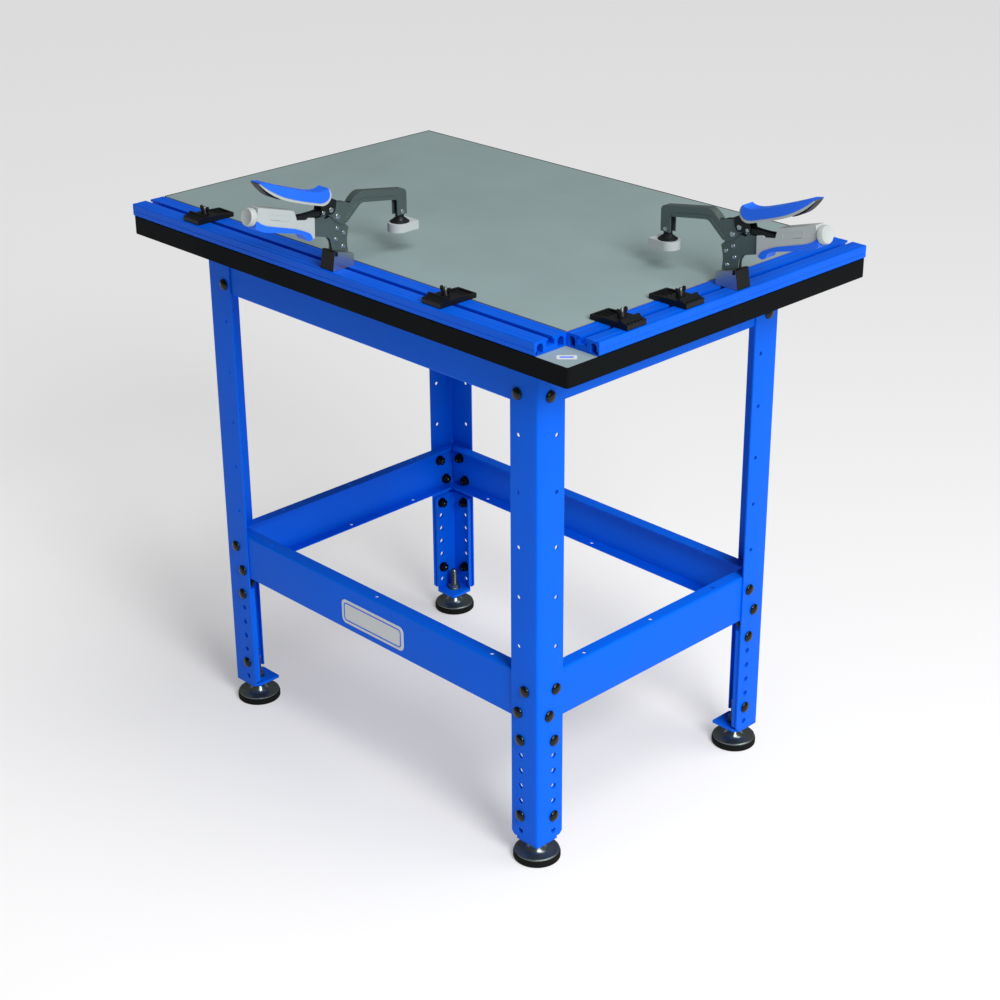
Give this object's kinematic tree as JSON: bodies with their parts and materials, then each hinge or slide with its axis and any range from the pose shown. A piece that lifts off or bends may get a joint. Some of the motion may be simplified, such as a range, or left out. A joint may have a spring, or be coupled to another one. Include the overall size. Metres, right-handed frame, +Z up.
{
  "type": "clamp table",
  "caption": "Workshop table on a bolted steel stand, with T-slot tracks along two sides carrying stops and toggle clamps.",
  "frame": {"origin": "middle of the whole object's footprint, on the floor", "axes": "+X along the long side towards the short track, +Y from the long track to the back, +Z up"},
  "size_m": [1.0454, 0.7406, 0.9876],
  "materials": {
    "board": "raw board core",
    "edge_black": "satin edge band",
    "laminate_grey": "satin laminate",
    "track_blue": "blue anodised",
    "steel_blue": "powder coat",
    "foot_rubber": "matte",
    "zinc": "bright zinc",
    "plastic_black": "moulded",
    "base_steel": "satin",
    "grip_grey": "moulded",
    "grip_blue": "soft moulded",
    "pad_grey": "moulded",
    "gunmetal": "dark grey satin"
  },
  "bodies": {
    "table": {"lower_board": "board", "lower_laminate": "laminate_grey", "lower_edge_band": "edge_black", "upper_board": "board", "upper_edge_band": "edge_black", "top_laminate": "laminate_grey", "front_track": "track_blue", "right_track": "track_blue", "leg_front_right": "steel_blue", "leg_back_right": "steel_blue", "leg_back_left": "steel_blue", "leg_front_left": "steel_blue", "lower_rail_front": "steel_blue", "lower_rail_right": "steel_blue", "lower_rail_back": "steel_blue", "lower_rail_left": "steel_blue", "apron_front": "steel_blue", "apron_right": "steel_blue", "apron_back": "steel_blue", "apron_left": "steel_blue"},
    "extension_front_right": {"leg_extension_front_right": "steel_blue"},
    "foot_front_right": {"foot_disc_front_right": "foot_rubber", "foot_stud_front_right": "zinc"},
    "extension_back_right": {"leg_extension_back_right": "steel_blue"},
    "foot_back_right": {"foot_disc_back_right": "foot_rubber", "foot_stud_back_right": "zinc"},
    "extension_back_left": {"leg_extension_back_left": "steel_blue"},
    "foot_back_left": {"foot_disc_back_left": "foot_rubber", "foot_stud_back_left": "zinc"},
    "extension_front_left": {"leg_extension_front_left": "steel_blue"},
    "foot_front_left": {"foot_disc_front_left": "foot_rubber", "foot_stud_front_left": "zinc"},
    "stop_1": {"stop_block_1": "plastic_black"},
    "stop_nut_1": {"wing_nut_1": "plastic_black"},
    "stop_2": {"stop_block_2": "plastic_black"},
    "stop_nut_2": {"wing_nut_2": "plastic_black"},
    "stop_3": {"stop_block_3": "plastic_black"},
    "stop_nut_3": {"wing_nut_3": "plastic_black"},
    "stop_4": {"stop_block_4": "plastic_black"},
    "stop_nut_4": {"wing_nut_4": "plastic_black"},
    "clamp_1_slider": {"clamp_1_t_bolt": "zinc"},
    "clamp_1_body": {"clamp_1_base": "base_steel", "clamp_1_frame": "gunmetal", "clamp_1_lower_grip": "grip_grey"},
    "clamp_1_arm": {"clamp_1_arm": "gunmetal"},
    "clamp_1_lever": {"clamp_1_lever": "gunmetal", "clamp_1_lever_grip": "grip_blue"},
    "clamp_1_link": {"clamp_1_toggle_link": "gunmetal"},
    "clamp_1_pad": {"clamp_1_pad": "pad_grey"},
    "clamp_1_knob": {"clamp_1_force_knob": "grip_grey"},
    "clamp_2_slider": {"clamp_2_t_bolt": "zinc"},
    "clamp_2_body": {"clamp_2_base": "base_steel", "clamp_2_frame": "gunmetal", "clamp_2_lower_grip": "grip_grey"},
    "clamp_2_arm": {"clamp_2_arm": "gunmetal"},
    "clamp_2_lever": {"clamp_2_lever": "gunmetal", "clamp_2_lever_grip": "grip_blue"},
    "clamp_2_link": {"clamp_2_toggle_link": "gunmetal"},
    "clamp_2_pad": {"clamp_2_pad": "pad_grey"},
    "clamp_2_knob": {"clamp_2_force_knob": "grip_grey"}
  },
  "joints": [
    {"name": "extension_slide_front_right", "type": "slide", "parent": "table", "child": "extension_front_right", "axis": [0, 0, 1], "range_m": [-0.127, 0]},
    {"name": "foot_level_front_right", "type": "slide", "parent": "extension_front_right", "child": "foot_front_right", "axis": [0, 0, 1], "range_m": [-0.03, 0]},
    {"name": "extension_slide_back_right", "type": "slide", "parent": "table", "child": "extension_back_right", "axis": [0, 0, 1], "range_m": [-0.127, 0]},
    {"name": "foot_level_back_right", "type": "slide", "parent": "extension_back_right", "child": "foot_back_right", "axis": [0, 0, 1], "range_m": [-0.03, 0]},
    {"name": "extension_slide_back_left", "type": "slide", "parent": "table", "child": "extension_back_left", "axis": [0, 0, 1], "range_m": [-0.127, 0]},
    {"name": "foot_level_back_left", "type": "slide", "parent": "extension_back_left", "child": "foot_back_left", "axis": [0, 0, 1], "range_m": [-0.03, 0]},
    {"name": "extension_slide_front_left", "type": "slide", "parent": "table", "child": "extension_front_left", "axis": [0, 0, 1], "range_m": [-0.127, 0]},
    {"name": "foot_level_front_left", "type": "slide", "parent": "extension_front_left", "child": "foot_front_left", "axis": [0, 0, 1], "range_m": [-0.03, 0]},
    {"name": "stop_slide_1", "type": "slide", "parent": "table", "child": "stop_1", "axis": [1, 0, 0], "range_m": [-0.12, 0.09]},
    {"name": "stop_nut_turn_1", "type": "hinge", "parent": "stop_1", "child": "stop_nut_1", "pos_m": [-0.3785, -0.21073, 0.8462], "axis": [0, 0, 1], "continuous": true},
    {"name": "stop_slide_2", "type": "slide", "parent": "table", "child": "stop_2", "axis": [1, 0, 0], "range_m": [-0.01, 0.165]},
    {"name": "stop_nut_turn_2", "type": "hinge", "parent": "stop_2", "child": "stop_nut_2", "pos_m": [0.1425, -0.21073, 0.8462], "axis": [0, 0, 1], "continuous": true},
    {"name": "stop_slide_3", "type": "slide", "parent": "table", "child": "stop_3", "axis": [0, 1, 0], "range_m": [-0.05, 0.035]},
    {"name": "stop_nut_turn_3", "type": "hinge", "parent": "stop_3", "child": "stop_nut_3", "pos_m": [0.36313, -0.11, 0.8462], "axis": [0, 0, 1], "continuous": true},
    {"name": "stop_slide_4", "type": "slide", "parent": "table", "child": "stop_4", "axis": [0, 1, 0], "range_m": [-0.035, 0.03]},
    {"name": "stop_nut_turn_4", "type": "hinge", "parent": "stop_4", "child": "stop_nut_4", "pos_m": [0.36313, 0.003, 0.8462], "axis": [0, 0, 1], "continuous": true},
    {"name": "clamp_1_slide", "type": "slide", "parent": "table", "child": "clamp_1_slider", "axis": [1, 0, 0], "range_m": [-0.04, 0.04]},
    {"name": "clamp_1_swivel", "type": "hinge", "parent": "clamp_1_slider", "child": "clamp_1_body", "pos_m": [-0.0696, -0.21073, 0.8382], "axis": [0, 0, 1], "range_deg": [-60, 60]},
    {"name": "clamp_1_arm_hinge", "type": "hinge", "parent": "clamp_1_body", "child": "clamp_1_arm", "pos_m": [-0.0696, -0.21753, 0.9114], "axis": [1, 0, 0], "range_deg": [0, 20]},
    {"name": "clamp_1_lever_hinge", "type": "hinge", "parent": "clamp_1_arm", "child": "clamp_1_lever", "pos_m": [-0.0696, -0.23023, 0.9237], "axis": [1, 0, 0], "range_deg": [-69, 1]},
    {"name": "clamp_1_link_hinge", "type": "hinge", "parent": "clamp_1_body", "child": "clamp_1_link", "pos_m": [-0.0696, -0.28453, 0.9222], "axis": [1, 0, 0], "range_deg": [-1, 10]},
    {"name": "clamp_1_pad_tilt", "type": "hinge", "parent": "clamp_1_arm", "child": "clamp_1_pad", "pos_m": [-0.0696, -0.10023, 0.8932], "axis": [1, 0, 0], "range_deg": [-15, 15]},
    {"name": "clamp_1_knob_turn", "type": "hinge", "parent": "clamp_1_body", "child": "clamp_1_knob", "pos_m": [-0.0696, -0.36773, 0.9422], "axis": [0, 0.9723, -0.2337], "continuous": true},
    {"name": "clamp_2_slide", "type": "slide", "parent": "table", "child": "clamp_2_slider", "axis": [0, 1, 0], "range_m": [0, 0.1]},
    {"name": "clamp_2_swivel", "type": "hinge", "parent": "clamp_2_slider", "child": "clamp_2_body", "pos_m": [0.36313, 0.1028, 0.8382], "axis": [0, 0, 1], "range_deg": [-60, 60]},
    {"name": "clamp_2_arm_hinge", "type": "hinge", "parent": "clamp_2_body", "child": "clamp_2_arm", "pos_m": [0.36993, 0.1028, 0.9114], "axis": [0, 1, 0], "range_deg": [0, 20]},
    {"name": "clamp_2_lever_hinge", "type": "hinge", "parent": "clamp_2_arm", "child": "clamp_2_lever", "pos_m": [0.38263, 0.1028, 0.9237], "axis": [0, 1, 0], "range_deg": [-69, 1]},
    {"name": "clamp_2_link_hinge", "type": "hinge", "parent": "clamp_2_body", "child": "clamp_2_link", "pos_m": [0.43693, 0.1028, 0.9222], "axis": [0, 1, 0], "range_deg": [-1, 10]},
    {"name": "clamp_2_pad_tilt", "type": "hinge", "parent": "clamp_2_arm", "child": "clamp_2_pad", "pos_m": [0.25263, 0.1028, 0.8932], "axis": [0, 1, 0], "range_deg": [-15, 15]},
    {"name": "clamp_2_knob_turn", "type": "hinge", "parent": "clamp_2_body", "child": "clamp_2_knob", "pos_m": [0.52013, 0.1028, 0.9422], "axis": [-0.9723, 0, -0.2337], "continuous": true}
  ],
  "couplings": [
    {"joint": "clamp_1_lever_hinge", "follows": "clamp_1_arm_hinge", "ratio": -3.42},
    {"joint": "clamp_1_link_hinge", "follows": "clamp_1_arm_hinge", "ratio": 0.46},
    {"joint": "clamp_2_lever_hinge", "follows": "clamp_2_arm_hinge", "ratio": -3.42},
    {"joint": "clamp_2_link_hinge", "follows": "clamp_2_arm_hinge", "ratio": 0.46}
  ]
}
